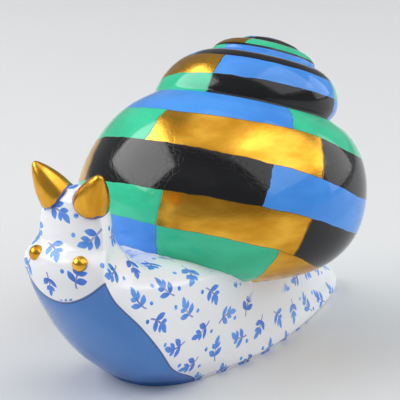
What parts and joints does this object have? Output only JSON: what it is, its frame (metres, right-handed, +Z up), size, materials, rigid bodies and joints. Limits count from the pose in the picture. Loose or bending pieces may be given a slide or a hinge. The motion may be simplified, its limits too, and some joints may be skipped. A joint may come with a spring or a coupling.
{
  "type": "snail figurine",
  "caption": "Glazed porcelain snail ornament with a raised head, gilded tentacles and eye dots, a flat foot, and a turban shell banded in glossy colour blocks.",
  "frame": {"origin": "on the flat sole, on the centre line, below the middle of the shell", "axes": "+Z up, -Y toward the head, +X toward the snail's left"},
  "size_m": [0.04, 0.0644, 0.0418],
  "materials": {
    "painted_porcelain": "white glazed porcelain painted in blue, clear gloss",
    "banded_glaze": "glossy enamel blocks of blue, green, black and gold on porcelain",
    "white_slip": "fired slip under clear glaze",
    "gilding": "burnished gold over glazed porcelain",
    "blue_line": "dark blue painted ring under clear glaze"
  },
  "bodies": {
    "root": {"foot_body": "painted_porcelain", "shell": "banded_glaze", "shell_joint_slip": "white_slip", "left_tentacle": "gilding", "right_tentacle": "gilding", "left_tentacle_slip": "blue_line", "right_tentacle_slip": "blue_line", "left_eye": "gilding", "right_eye": "gilding"}
  },
  "joints": []
}
